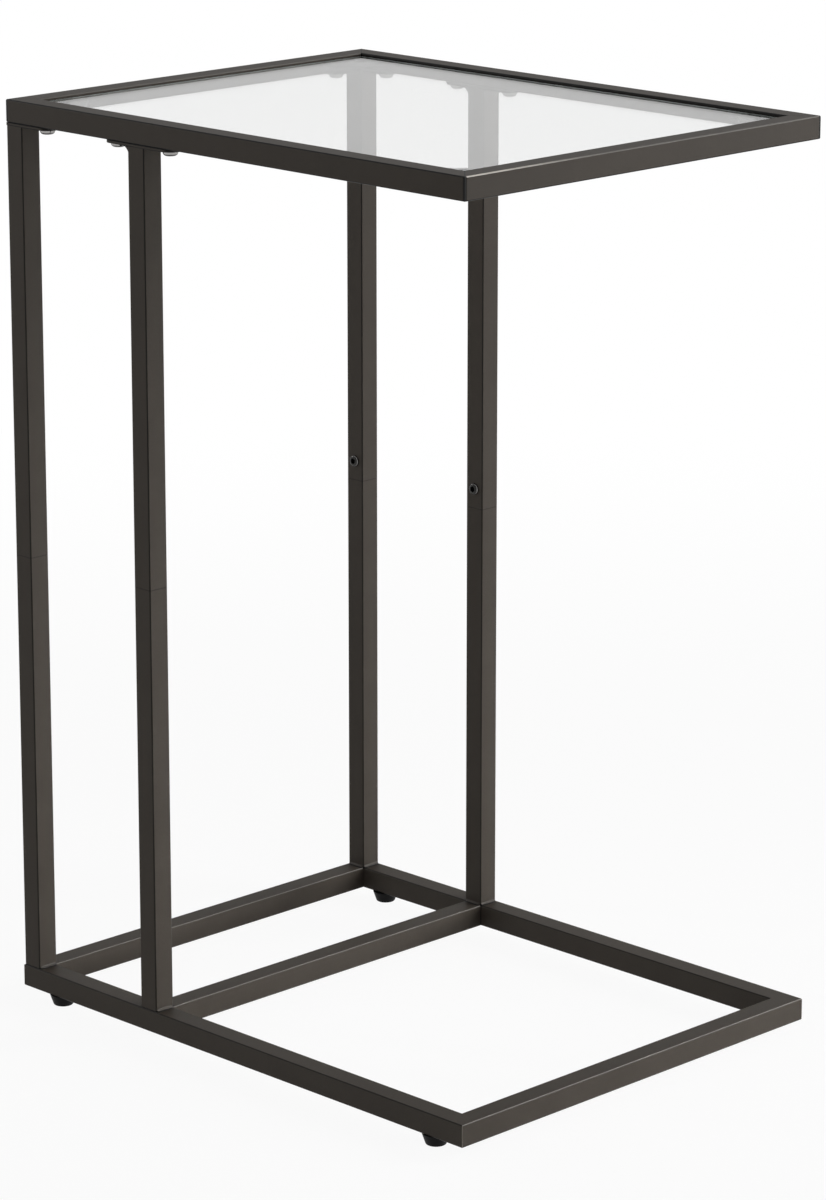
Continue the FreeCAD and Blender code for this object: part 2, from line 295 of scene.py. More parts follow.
@dataclass(frozen=True)
class PowderCoat:
    """Satin dark bronze powder coat, baked on steel, with a faint orange peel."""

    colour: Colour = (0.0465, 0.0388, 0.0312)
    light_colour: Colour = (0.0585, 0.0495, 0.0408)
    # painted dark reflection: near-black on the rounded edges, its strength set for the top, the
    # base and the other pieces
    edge_dark_reflection_colour: Colour = (0.002, 0.0018, 0.0016)
    edge_dark_reflection_shares: tuple[float, float, float] = (1.0, 0.75, 0.9)
    # painted highlight: a pale line on the crests of the upper edges, strongest at the top's front
    # corners
    painted_highlight_colour: Colour = (0.78, 0.73, 0.66)
    crest_highlight_share: float = 0.25
    light_width: float = 0.3
    top_crest_highlight_share: float = 0.2
    top_rail_edge_width: float = 0.8
    corner_highlight_reach: Pair = (130 * MM, 10 * MM)
    # share of painted highlight on the base's outer corner edges
    base_corner_highlight: float = 0.1
    # dark joint lines, and painted shade on the top rails' inner walls above the glass
    seam_and_shade_colour: Colour = (0.003, 0.003, 0.003)
    roughness: float = 0.54
    roughness_spread: float = 0.08
    edge_roughness: float = 0.22
    level: float = 0.12
    speck: float = 0.55 * MM
    speck_height: float = 0.012 * MM
    peel: float = 2.4 * MM
    peel_height: float = 0.03 * MM
    cloud: float = 45 * MM
    ripple: float = 0.0
    cloud_share: float = 0.45
    speck_steps: Pair = (0.42, 0.62)
    edge_dark_reflection_patch: float = 0.1
    highlight_patches: Pair = (0.7, 0.4)  # least share, and what the cloud adds
    edge_smoothing: float = 0.85
    ripple_share: float = 2.0
    seam_reach: float = 0.6 * MM
    seam_depth: float = 5.0
    tight_seam: float = 0.4
    corner_reach: float = 2.2 * MM
    cross_end: Pair = (0.9 * MM, 1.1 * MM)  # inset and reach
    outer_wall: Pair = (-4 * MM, -2 * MM)
    recess_wall: float = 0.8 * MM
    recess_facing: Pair = (0.3, 0.6)
    recess_drop: Pair = (7 * MM, 5 * MM)  # below the glass

    def seam(self, graph: Graph, kind: Seam) -> Wire:
        """Return a mask of 1 along a joint line.

        Args:
            graph: the material's graph.
            kind: which joint lines the piece has.

        Returns:
            The mask.
        """
        x, y, z = graph.axes()
        if kind in (Seam.LEG_HALVES, Seam.FEET):
            foot = z.near(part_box("base_cross_rail")[1].z, self.seam_reach)
            if kind is Seam.FEET:
                return foot
            middle = z.near(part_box("corner_front_leg_lower")[1].z, self.seam_reach)
            return foot.at_least(middle * self.tight_seam)
        if kind is Seam.CROSS_ENDS:
            inset, reach = self.cross_end
            return y.magnitude().near(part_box("base_cross_rail")[1].y - inset, reach)
        if kind is Seam.PLATES:
            low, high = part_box("mid_leg_plates")
            return z.near(low.z, self.seam_reach).at_least(z.near(high.z, self.seam_reach))
        x, y = x.magnitude(), y.magnitude()
        if kind is Seam.CORNERS:
            corner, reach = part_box("base_rail_rear")[1], self.seam_reach
            return x.near(corner.x, reach) * y.near(corner.y, reach)
        corner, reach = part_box("top_rail_rear")[1], self.corner_reach
        mitre = (x - y).near(corner.x - corner.y, self.seam_reach)
        return mitre.at_least(x.near(corner.x, reach) * y.near(corner.y, reach))

    def crest_highlight(self, graph: Graph, kind: Seam) -> Wire | float:
        """Tell how strong the painted highlight is on the crests of the upper edges.

        Args:
            graph: the material's graph.
            kind: which joint lines the piece has; the mitred rails are those of the top.

        Returns:
            The share of painted highlight colour: the same all over, but on the top's rails it
                rises
            to 1 at their two front corners.
        """
        if kind is not Seam.MITRES:
            return self.crest_highlight_share
        x, y, _ = graph.axes()
        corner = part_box("top_rail_rear")[1]
        far, close = self.corner_highlight_reach
        outer = (x.magnitude() - corner.x).between(*self.outer_wall)
        near = outer * (0.0 - y - corner.y).between(-far, -close)
        return near * (1.0 - self.top_crest_highlight_share) + self.top_crest_highlight_share

    def recess_shade(self, graph: Graph) -> Wire:
        """Mark the top's front and rear inner walls above the glass, for painted shade.

        Args:
            graph: the material's graph.

        Returns:
            A mask of 1 on those walls.
        """
        x, y, z = graph.axes()
        glass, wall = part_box("glass_top")[1], self.recess_wall
        inside = (glass.x + 2 * wall - x.magnitude()).between(0.0, wall) \
            * (glass.y + 2 * wall - y.magnitude()).between(0.0, wall)
        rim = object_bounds()[1].z
        across = graph.facing()[1].magnitude().between(*self.recess_facing)
        below, above = (glass.z - drop for drop in self.recess_drop)
        return inside * across * z.between(below, above) * (rim - z).between(0.0, wall / 2)

    def material(self, kind: Seam) -> Material:
        """Return the material for pieces with one kind of joint line.

        Args:
            kind: which joint lines show.

        Returns:
            The material.
        """
        prefix = "coated_weld_" if self.ripple else "powder_coat_"
        material, graph = new_material(prefix + kind.value)
        fine, peel, cloud = (graph.grain(size) for size in (self.speck, self.peel, self.cloud))
        edge, highlit_crest = graph.edges(self.top_rail_edge_width if kind is Seam.MITRES else self.light_width)
        tone = cloud.between(*PATCHES) * self.cloud_share \
            + fine.between(*self.speck_steps) * (1.0 - self.cloud_share)
        colour = graph.blend(tone, self.colour, self.light_colour)
        height = fine * (self.speck_height / self.peel_height) + peel
        height = height * (1.0 - edge * self.edge_smoothing)
        if self.ripple:
            height = height + graph.grain(self.ripple, 1.0) * self.ripple_share
        else:
            # painted dark reflection along the rounded edges
            top, base, other = self.edge_dark_reflection_shares
            dark = {Seam.MITRES: top, Seam.CORNERS: base}.get(kind, other)
            patchy = cloud * self.edge_dark_reflection_patch + (1.0 - self.edge_dark_reflection_patch)
            colour = graph.blend(edge * patchy * dark, colour, self.edge_dark_reflection_colour)
            least, added = self.highlight_patches
            # painted highlight on the crests of the upper edges
            highlight = highlit_crest * self.crest_highlight(graph, kind) * (cloud * added + least)
            colour = graph.blend(highlight, colour, self.painted_highlight_colour)
        if kind is Seam.MITRES:
            # painted shade on the top rails' inner walls above the glass
            colour = graph.blend(self.recess_shade(graph), colour, self.seam_and_shade_colour)
        # painted highlight: a faint pale line on the base's outer corner edges
        if kind is Seam.CORNERS:
            line = self.seam(graph, kind) * self.base_corner_highlight
            colour = graph.blend(line, colour, self.painted_highlight_colour)
        elif kind is not Seam.NONE:
            seam = self.seam(graph, kind)
            colour = graph.blend(seam, colour, self.seam_and_shade_colour)
            height = height - seam * self.seam_depth
        spread = self.roughness_spread
        rough = (cloud + fine) * spread + (self.roughness - spread)
        graph.output(graph.principled({
            "Base Color": colour,
            "Roughness": rough - edge * self.edge_roughness,
            "Normal": graph.relief(height, self.peel_height),
            "Metallic": 0.0,
            "IOR": COAT_INDEX,
            "Specular IOR Level": self.level,
        }))
        return material


@dataclass(frozen=True)
class PlatedSteel:
    """Turned or pressed steel with a thin plating or oxide."""

    name: str
    colour: Colour
    dull_colour: Colour
    roughness: float
    # painted highlight: a lighter ring on a screw head, where its surface turns by this tilt
    rim_highlight_colour: Colour | None = None
    rim_highlight_tilt: Pair = (0.0, 0.0)
    axis: int = 2
    grain: float = 0.8 * MM
    grain_height: float = 0.006 * MM
    patch_grains: float = 4.0
    rim_highlight_patch: float = 0.5
    roughness_spread: float = 0.16

    def material(self) -> Material:
        """Build the plating, with its dull patches and, where asked for, painted rim highlights.

        Returns:
            The material.
        """
        material, graph = new_material(self.name)
        cloud, fine = graph.grain(self.patch_grains * self.grain), graph.grain(self.grain)
        colour = graph.blend(cloud.between(*PATCHES), self.colour, self.dull_colour)
        # painted highlight on the rims
        if self.rim_highlight_colour:
            tilt = graph.facing()[self.axis].magnitude()
            low, high = self.rim_highlight_tilt
            start, full = ((high - low) * share for share in PATCHES)
            kept = (tilt - (low + high) / 2).magnitude().between(start, full)
            patchy = fine * self.rim_highlight_patch + (1.0 - self.rim_highlight_patch)
            colour = graph.blend((1.0 - kept) * patchy, colour, self.rim_highlight_colour)
        graph.output(graph.principled({
            "Base Color": colour,
            "Roughness": fine * self.roughness_spread
            + (self.roughness - self.roughness_spread / 2),
            "Normal": graph.relief(fine, self.grain_height),
            "Metallic": 1.0,
        }))
        return material


@dataclass(frozen=True)
class MouldedPlastic:
    """Black moulded plastic with a fine spark-eroded grain."""

    colour: Colour = (0.0035, 0.0035, 0.0036)
    scuffed_colour: Colour = (0.008, 0.008, 0.0085)
    roughness: float = 0.43
    roughness_spread: float = 0.15
    level: float = 0.12
    index: float = 1.46
    grain: float = 0.35 * MM
    grain_height: float = 0.03 * MM
    scuff: float = 3 * MM
    scuff_detail: float = 4.0
    scuff_steps: Pair = (0.5, 0.75)

    def material(self) -> Material:
        """Build the plastic, with its fine moulded grain.

        Returns:
            The material.
        """
        material, graph = new_material("moulded_plastic")
        fine, scuffs = graph.grain(self.grain), graph.grain(self.scuff, self.scuff_detail)
        scuffed = scuffs.between(*self.scuff_steps)
        graph.output(graph.principled({
            "Base Color": graph.blend(scuffed, self.colour, self.scuffed_colour),
            "Roughness": scuffs * self.roughness_spread + self.roughness,
            "Normal": graph.relief(fine, self.grain_height),
            "IOR": self.index,
            "Specular IOR Level": self.level,
        }))
        return material


@dataclass(frozen=True)
class ClearSheet:
    """Clear glass or soft clear plastic that lets the lamps' light through."""

    name: str
    tint: Colour
    smear_tint: Colour
    roughness: float
    smear_roughness: float
    index: float
    shade: Colour
    smear: float = 45 * MM
    smear_detail: float = 3.0
    smear_steps: Pair = (0.5, 0.8)

    def material(self) -> Material:
        """Build the glass, which also gives a soft shadow.

        Returns:
            The material.
        """
        material, graph = new_material(self.name)
        smear = graph.grain(self.smear, self.smear_detail).between(*self.smear_steps)
        clear = graph.principled({
            "Base Color": graph.blend(smear, self.tint, self.smear_tint),
            "Roughness": smear * (self.smear_roughness - self.roughness) + self.roughness,
            "Transmission Weight": 1.0,
            "IOR": self.index,
        })
        shaded = graph.add("ShaderNodeBsdfTransparent", {}, {"Color": (*self.shade, 1.0)})
        path = graph.add("ShaderNodeLightPath", {}, {})
        mix = graph.add("ShaderNodeMixShader", {}, {
            0: path.outputs["Is Shadow Ray"], 1: clear, 2: shaded.outputs[0],
        })
        graph.output(mix.outputs[0])
        return material


@dataclass(frozen=True)
class GroundEdge:
    """The pane's edge, ground dull and faintly green."""

    colour: Colour = (0.50, 0.53, 0.515)
    deep_colour: Colour = (0.38, 0.42, 0.40)
    roughness: float = 0.55
    roughness_spread: float = 0.2
    transmission: float = 0.15
    scratch: float = 0.25 * MM
    scratch_height: float = 0.004 * MM
    cloud: float = 12 * MM

    def material(self) -> Material:
        """Build the ground surface, with its fine scratches.

        Returns:
            The material.
        """
        material, graph = new_material("ground_glass_edge")
        scratches, cloud = graph.grain(self.scratch), graph.grain(self.cloud)
        graph.output(graph.principled({
            "Base Color": graph.blend(cloud, self.colour, self.deep_colour),
            "Roughness": scratches * self.roughness_spread
            + (self.roughness - self.roughness_spread / 2),
            "Normal": graph.relief(scratches, self.scratch_height),
            "Transmission Weight": self.transmission,
            "IOR": COAT_INDEX,
        }))
        return material


@dataclass(frozen=True)
class PaleFloor:
    """Pale matt floor that still takes the table's shadow."""

    colour: Colour = (0.86, 0.86, 0.86)
    patch: float = 0.99
    cloud: float = 0.9
    roughness: float = 0.9
    level: float = 0.1
    glow_share: float = 0.93
    far: Pair = (0.6, 1.9)

    def material(self) -> Material:
        """Build the floor, bright to the eye and matt to the light.

        Returns:
            The material.
        """
        material, graph = new_material("pale_floor")
        darker = tuple(c * self.patch for c in self.colour)
        matt = graph.principled({
            "Base Color": graph.blend(graph.grain(self.cloud), self.colour, darker),
            "Roughness": self.roughness,
            "Specular IOR Level": self.level,
        })
        bright = graph.add("ShaderNodeEmission", {}, {"Color": WHITE, "Strength": 1.0})
        way = graph.add("ShaderNodeVectorMath", {"operation": "LENGTH"}, {0: graph.place()})
        far = Wire(graph, way.outputs["Value"]).between(*self.far)
        share = far * (1.0 - self.glow_share) + self.glow_share
        mix = graph.add("ShaderNodeMixShader", {}, {
            0: graph.seen() * share, 1: matt, 2: bright.outputs[0],
        })
        graph.output(mix.outputs[0])
        return material


# ---- modelling by hand, in code ----
MERGE = 0.002 * MM  # corners closer than this become one
SAME_SOLID = 0.001 * MM  # corners of a frame node closer than this belong together
FLAT_WEIGHT = 100  # how strongly large faces keep their own shading
FAR_SHARE = 0.9  # share of a block's side beyond which a corner is on its far side


def deselect() -> None:
    """Leave nothing selected and nothing in edit mode."""
    if bpy.context.object and bpy.context.object.mode != "OBJECT":
        bpy.ops.object.mode_set(mode="OBJECT")
    bpy.ops.object.select_all(action="DESELECT")


def pick(piece: Object) -> None:
    """Select one object alone and make it the active one.

    Args:
        piece: the object.
    """
    deselect()
    piece.select_set(True)
    bpy.context.view_layer.objects.active = piece


@contextmanager
def editing(piece: Object, element: str = "FACE",
            test: Callable[[Any], bool] = lambda item: False) -> Iterator[None]:
    """Edit a piece's mesh with only what passes a test selected.

    Args:
        piece: the object to edit.
        element: VERT, EDGE or FACE, for what is picked.
        test: says whether a corner, edge or face is wanted.

    Yields:
        Nothing; the piece is in edit mode until the block ends.
    """
    pick(piece)
    bpy.ops.object.mode_set(mode="EDIT")
    bpy.ops.mesh.select_mode(type=element)
    bpy.ops.mesh.select_all(action="DESELECT")
    mesh = bmesh.from_edit_mesh(piece.data)
    for item in {"VERT": mesh.verts, "EDGE": mesh.edges, "FACE": mesh.faces}[element]:
        item.select_set(test(item))
    bmesh.update_edit_mesh(piece.data)
    yield
    bpy.ops.object.mode_set(mode="OBJECT")


def settle(piece: Object, smooth_angle: float = 40.0) -> Object:
    """Apply a piece's modifiers and place, point its faces outwards and smooth its curves.

    Args:
        piece: the object to finish.
        smooth_angle: the sharpest turn, in degrees, that is still shaded as a curve.

    Returns:
        The same object.
    """
    pick(piece)
    for modifier in list(piece.modifiers):
        bpy.ops.object.modifier_apply(modifier=modifier.name)
    bpy.ops.object.transform_apply(location=True, rotation=True, scale=True)
    with editing(piece):
        bpy.ops.mesh.select_all(action="SELECT")
        bpy.ops.mesh.remove_doubles(threshold=MERGE)
        bpy.ops.mesh.normals_make_consistent(inside=False)
    pick(piece)
    bpy.ops.object.shade_smooth_by_angle(angle=math.radians(smooth_angle))
    flatten = piece.modifiers.new("flat_faces", "WEIGHTED_NORMAL")
    flatten.keep_sharp, flatten.weight = True, FLAT_WEIGHT
    bpy.ops.object.modifier_apply(modifier=flatten.name)
    return piece


def coat(piece: Object, material: Material) -> None:
    """Give a piece one material all over."""
    piece.data.materials.clear()
    piece.data.materials.append(material)


def block(name: str, middle: Vector | Point, size: Vector | Point) -> Object:
    """Model a plain block to cut a piece from.

    Args:
        name: the new object's name.
        middle: the block's middle.
        size: its size along X, Y and Z.

    Returns:
        The block.
    """
    deselect()
    bpy.ops.mesh.primitive_cube_add(size=1.0, location=middle, scale=size)
    piece = bpy.context.object
    piece.name = name
    bpy.ops.object.transform_apply(location=True, rotation=True, scale=True)
    return piece


def span(edge: bmesh.types.BMEdge) -> Vector:
    """Return the way from one end of an edge to the other."""
    return edge.verts[0].co - edge.verts[1].co


def extent(points: list[Vector]) -> tuple[Vector, Vector]:
    """Return the lowest and the highest corner of the box round some points."""
    return (Vector(min(p[n] for p in points) for n in range(3)),
            Vector(max(p[n] for p in points) for n in range(3)))


def turned(name: str, outline: list[Pair], sides: int) -> Object:
    """Model a turned piece by drawing rings out of a disc.

    Args:
        name: the new object's name.
        outline: (radius, height) from the bottom of the piece to its top.
        sides: how many sides each ring has.

    Returns:
        The piece, standing on the Z axis.
    """
    deselect()
    (radius, height), *rest = outline
    bpy.ops.mesh.primitive_circle_add(
        vertices=sides, radius=radius, fill_type="NGON", location=(0.0, 0.0, height))
    piece = bpy.context.object
    piece.name = name
    bpy.ops.object.transform_apply(location=True, rotation=True, scale=True)
    with editing(piece, "FACE", lambda face: True):
        for next_radius, next_height in rest:
            bpy.ops.mesh.extrude_region_move(
                TRANSFORM_OT_translate={"value": (0.0, 0.0, next_height - height)})
            grow = next_radius / radius
            bpy.ops.transform.resize(
                value=(grow, grow, 1.0), center_override=(0.0, 0.0, next_height))
            radius, height = next_radius, next_height
    return piece


def arc(centre: Pair, radius: float, start: float, end: float, steps: int) -> list[Pair]:
    """Return points of an arc in a turned outline.

    Args:
        centre: the arc's centre, as (radius, height).
        radius: the arc's own radius.
        start: where it starts, in degrees up from the outward direction.
        end: where it ends, in degrees.
        steps: how many stretches it has.

    Returns:
        The points from start to end.
    """
    turns = (math.radians(start + (end - start) * n / steps) for n in range(steps + 1))
    return [(centre[0] + radius * math.cos(turn), centre[1] + radius * math.sin(turn))
            for turn in turns]


def copies(master: Object, places: list[Matrix], name: str) -> list[Object]:
    """Copy a piece to each place, with a mesh of its own, and delete the master.

    Args:
        master: the piece modelled at the origin.
        places: where each copy goes.
        name: the copies' name, before their number.

    Returns:
        The copies, each with its place in its mesh.
    """
    made = []
    for number, place in enumerate(places, start=1):
        piece = bpy.data.objects.new(f"{name}_{number}", master.data.copy())
        bpy.context.scene.collection.objects.link(piece)
        piece.data.transform(place)
        made.append(piece)
    bpy.data.objects.remove(master)
    return made


def aimed(direction: Vector, place: Vector) -> Matrix:
    """Return the move that takes a piece made along +Z to a place, along a direction."""
    return Matrix.Translation(place) @ UP.rotation_difference(direction).to_matrix().to_4x4()


# ---- the table's sub-assemblies ----
SIDES = ("front", "rear", "leg_end", "open_end")


@dataclass
class TubeFrame:
    """Rails, legs, plates and tabs: the coated steel."""

    coating: PowderCoat = field(default_factory=PowderCoat)
    seams: dict[str, Seam] = field(default_factory=lambda: {
        **{"top_rail_" + side: Seam.MITRES for side in SIDES},
        **{"base_rail_" + side: Seam.CORNERS for side in SIDES},
        "base_cross_rail": Seam.CROSS_ENDS, "glass_tab_": Seam.NONE, "_leg_plates": Seam.PLATES,
        "_leg_lower": Seam.LEG_HALVES, "_leg_upper": Seam.LEG_HALVES,
    })

    def dress(self) -> None:
        """Coat the tubes, plates and tabs."""
        kinds = dict.fromkeys(self.seams.values())
        paints = {kind: self.coating.material(kind) for kind in kinds}
        for name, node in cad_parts.items():
            for part, kind in self.seams.items():
                if part in name:
                    coat(node, paints[kind])
                    LOG.info("%s: powder coated, seam %s", name, kind.value)


@dataclass
class WeldBeads:
    """The coated beads round the legs' feet and behind the middle legs' heads."""

    coating: PowderCoat = field(
        default_factory=lambda: PowderCoat(ripple=0.9 * MM, peel_height=0.04 * MM))
    rings: int = 26
    ring_reach: float = 0.01 * MM
    hollow: float = 0.14
    hollow_cut: float = 0.96
    hollow_steps: int = 6
    ripple_depth: float = 0.09
    ripple_turn: float = 2.1  # radians of a ripple from one ring to the next
    end_height: float = 0.8
    end_power: int = 5
    smooth_angle: float = 50.0

    def model(self, size: float, run: float) -> Object:
        """Model one bead along X, its heel on the X axis, its legs along Y and Z.

        Args:
            size: how far it reaches from the heel.
            run: its length.

        Returns:
            The bead.
        """
        piece = block("bead", (0.0, size / 2, size / 2), (run, size, size))
        far = FAR_SHARE * size
        with editing(
                piece, "EDGE", lambda edge: all(min(v.co.y, v.co.z) > far for v in edge.verts)):
            bpy.ops.mesh.bevel(
                offset=self.hollow_cut * size, segments=self.hollow_steps, profile=self.hollow)
        with editing(piece, "EDGE", lambda edge: abs(span(edge).x) > FAR_SHARE * run):
            bpy.ops.mesh.subdivide(number_cuts=self.rings)
        for ring in range(self.rings + 2):
            at = run * (ring / (self.rings + 1) - 0.5)
            ends = 1.0 - (1.0 - self.end_height) * abs(2 * at / run) ** self.end_power
            ripple = 0.5 - 0.5 * math.cos(ring * self.ripple_turn)
            grow = ends * (1.0 - self.ripple_depth * ripple)
            with editing(
                    piece, "VERT", lambda corner, at=at: abs(corner.co.x - at) < self.ring_reach):
                bpy.ops.transform.resize(value=(1.0, grow, grow), center_override=(at, 0.0, 0.0))
        return settle(piece, self.smooth_angle)

    def places(self, node_name: str, up: float) -> tuple[float, float, list[Matrix]]:
        """Find where a group's beads lie.

        Args:
            node_name: the frame's group of beads.
            up: 1 where they stand on a rail, -1 where they hang under a plate.

        Returns:
            A bead's reach and length, and the move to each place.
        """
        legs = [sum(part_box(name), Vector()) / 2
                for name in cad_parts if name.endswith("_leg_upper")]
        reach = run = 0.0
        moves = []
        for points in loose_parts(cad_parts[node_name]):
            low, high = extent(points)
            middle, size = (low + high) / 2, high - low
            leg = min(legs, key=lambda c, middle=middle: (c - middle).xy.length)
            across = 0 if size.x < size.y else 1
            way = 1.0 if middle[across] > leg[across] else -1.0
            outward, heel = Vector(), middle.copy()
            outward[across] = way
            heel[across] = (low if way > 0 else high)[across]
            heel.z = (low if up > 0 else high).z
            rise = UP * up
            turn = Matrix((outward.cross(rise), outward, rise)).transposed()
            moves.append(Matrix.Translation(heel) @ turn.to_4x4())
            reach, run = size.z, size[1 - across]
        return reach, run, moves

    def dress(self) -> None:
        """Model, copy and dress the beads of both groups."""
        groups = {"leg_foot_welds": (1.0, Seam.FEET), "leg_plate_welds": (-1.0, Seam.PLATES)}
        for node_name, (up, kind) in groups.items():
            reach, run, moves = self.places(node_name, up)
            paint = self.coating.material(kind)
            for bead in copies(self.model(reach, run), moves, node_name[:-1]):
                coat(bead, paint)
                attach(bead, TABLE_BODY)
                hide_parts(node_name)
                LOG.info("%s: powder coated weld", bead.name)


@dataclass
class GlassTop:
    """The pane, with its ground edge and rounded corners, and the soft pads under it."""

    corner_radius: float = 3 * MM
    corner_steps: int = 10
    arris: float = 0.6 * MM
    arris_steps: int = 3
    arris_profile: float = 0.6
    upright: float = 1 * MM  # edges that rise more than this are upright
    flat_face: float = 0.9  # how squarely a face looks up or down to be clear glass
    pane_smooth_angle: float = 30.0
    pad_edge: float = 0.3 * MM
    pad_edge_steps: int = 4
    pad_sides: int = 48
    glass: ClearSheet = ClearSheet(
        "clear_glass", (0.985, 0.992, 0.988), (0.975, 0.984, 0.98), 0.0, 0.012, 1.5,
        (0.25, 0.26, 0.255))
    ground: GroundEdge = GroundEdge()
    plastic: ClearSheet = ClearSheet(
        "clear_pad", (0.93, 0.94, 0.94), (0.9, 0.91, 0.91), 0.22, 0.35, 1.45, (0.9, 0.92, 0.91))

    def pane(self) -> Object:
        """Model the pane from a box, with rounded corners and bevelled rims.

        Returns:
            The pane.
        """
        low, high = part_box("glass_top")
        piece = block("glass_pane", (low + high) / 2, high - low)
        with editing(piece, "EDGE", lambda edge: abs(span(edge).z) > self.upright):
            bpy.ops.mesh.bevel(offset=self.corner_radius, segments=self.corner_steps, profile=0.5)
        with editing(piece, "EDGE", lambda edge: abs(span(edge).z) < self.upright):
            bpy.ops.mesh.bevel(
                offset=self.arris, segments=self.arris_steps, profile=self.arris_profile)
        return settle(piece, self.pane_smooth_angle)

    def pads(self) -> list[Object]:
        """Model one pad and copy it to the others' places.

        Returns:
            The pads.
        """
        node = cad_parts["glass_pads"]
        low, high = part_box("glass_pads")
        right = max(v.co.x for v in node.data.vertices)
        inner = min(v.co.x for v in node.data.vertices if v.co.x > 0)
        radius, height = (right - inner) / 2, high.z - low.z
        edge, steps = self.pad_edge, self.pad_edge_steps
        outline = arc((radius - edge, edge), edge, -90, 0, steps)
        outline += arc((radius - edge, height - edge), edge, 0, 90, steps)
        master = settle(turned("glass_pad", outline, self.pad_sides))
        places = [Matrix.Translation((x, y, low.z)) for x in (low.x + radius, high.x - radius)
                  for y in (low.y + radius, high.y - radius)]
        return copies(master, places, "glass_pad")

    def dress(self) -> None:
        """Model and dress the pane and its pads."""
        pane = self.pane()
        coat(pane, self.glass.material())
        pane.data.materials.append(self.ground.material())
        for face in pane.data.polygons:
            face.material_index = int(abs(face.normal.z) < self.flat_face)
        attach(pane, TABLE_BODY)
        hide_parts("glass_top")
        LOG.info("%s: clear glass", pane.name)
        clear = self.plastic.material()
        for pad in self.pads():
            coat(pad, clear)
            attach(pad, TABLE_BODY)
            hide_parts("glass_pads")
            LOG.info("%s: clear plastic", pad.name)


@dataclass(frozen=True)
class ScrewHead:
    """A screw head's size: outer radius, height, and radius of the flat round its socket."""

    radius: float
    height: float
    flat_radius: float


@dataclass
class ButtonScrews:
    """The domed, hexagon-socket screws that hold the plates and the leg halves."""

    rim_height: float = 0.7 * MM
    rim_edge: float = 0.25 * MM
    rim_edge_start: float = -60.0  # degrees from the outward direction
    rim_edge_steps: int = 3
    dome_steps: int = 12
    sides: int = 64
    shank_radius: float = 3.0 * MM
    shank_length: float = 10 * MM
    tip: Pair = (0.8, 0.94)  # shares of the shank's radius and length
    socket_across: float = 4 * MM
    socket_depth: float = 2.0 * MM
    smooth_angle: float = 35.0
    groups: dict[str, tuple[ScrewHead, PlatedSteel]] = field(default_factory=lambda: {
        # each finish ends with its painted rim highlight colour, that ring's tilt range and axis
        "plate_screws": (
            ScrewHead(5.25 * MM, 3.3 * MM, 2.75 * MM),
            PlatedSteel("black_nickel", (0.10, 0.097, 0.094), (0.06, 0.058, 0.056), 0.14,
                        (0.42, 0.41, 0.40), (-0.3, 0.45), 2)),
        "leg_screws": (
            ScrewHead(4.3 * MM, 2.0 * MM, 2.7 * MM),
            PlatedSteel("black_oxide", (0.022, 0.0215, 0.021), (0.038, 0.037, 0.036), 0.17,
                        (0.2, 0.195, 0.19), (0.3, 0.72), 1)),
    })

    def outline(self, head: ScrewHead) -> list[Pair]:
        """Draw a screw's turned outline, with its seat at height 0.

        Args:
            head: the size of its head.

        Returns:
            Its (radius, height) points, from the shank's tip up.
        """
        rim, edge = head.radius, self.rim_edge
        rise = head.height - self.rim_height
        run = rim - head.flat_radius
        dome = (rise * rise + run * run) / (2 * rise)
        centre = (head.flat_radius, head.height - dome)
        low = math.degrees(math.asin((self.rim_height - centre[1]) / dome))
        shank, length, (tip_radius, tip_start) = self.shank_radius, self.shank_length, self.tip
        points = [(shank * tip_radius, -length), (shank, -length * tip_start)]
        points += [(shank, 0.0), (rim - edge, 0.0)]
        points += arc((rim - edge, edge), edge, self.rim_edge_start, 0, self.rim_edge_steps)
        return points + arc(centre, dome, low, 90, self.dome_steps)

    def model(self, head: ScrewHead) -> Object:
        """Model one screw at the origin, its head up.

        Args:
            head: the size of its head.

        Returns:
            The screw.
        """
        screw = turned("button_screw", self.outline(head), self.sides)
        deselect()
        bpy.ops.mesh.primitive_cylinder_add(
            vertices=6, radius=self.socket_across / math.sqrt(3.0), depth=2 * self.socket_depth,
            location=(0.0, 0.0, head.height))
        cutter = bpy.context.object
        pick(screw)
        cut = screw.modifiers.new("socket", "BOOLEAN")
        cut.operation, cut.solver, cut.object = "DIFFERENCE", "EXACT", cutter
        settle(screw, self.smooth_angle)
        bpy.data.objects.remove(cutter)
        return screw

    def places(self, node_name: str, height: float) -> list[Matrix]:
        """Find where a group's screws stand.

        Args:
            node_name: the frame's group of screws.
            height: the height of their heads.

        Returns:
            The move from the origin to each place.
        """
        places = []
        for points in loose_parts(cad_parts[node_name]):
            low, high = extent(points)
            middle, size = (low + high) / 2, high - low
            axis = max(range(3), key=lambda n, size=size: size[n])
            head_high = sum(p[axis] > high[axis] - height for p in points)
            head_low = sum(p[axis] < low[axis] + height for p in points)
            sign = 1.0 if head_high > head_low else -1.0
            direction, seat = Vector(), middle.copy()
            direction[axis] = sign
            seat[axis] = (high if sign > 0 else low)[axis] - sign * height
            places.append(aimed(direction, seat))
        return places

    def dress(self) -> None:
        """Model, copy and dress the screws of both groups."""
        for node_name, (head, finish) in self.groups.items():
            metal = finish.material()
            places = self.places(node_name, head.height)
            for screw in copies(self.model(head), places, node_name[:-1]):
                coat(screw, metal)
                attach(screw, TABLE_BODY)
                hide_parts(node_name)
                LOG.info("%s: %s", screw.name, finish.name)


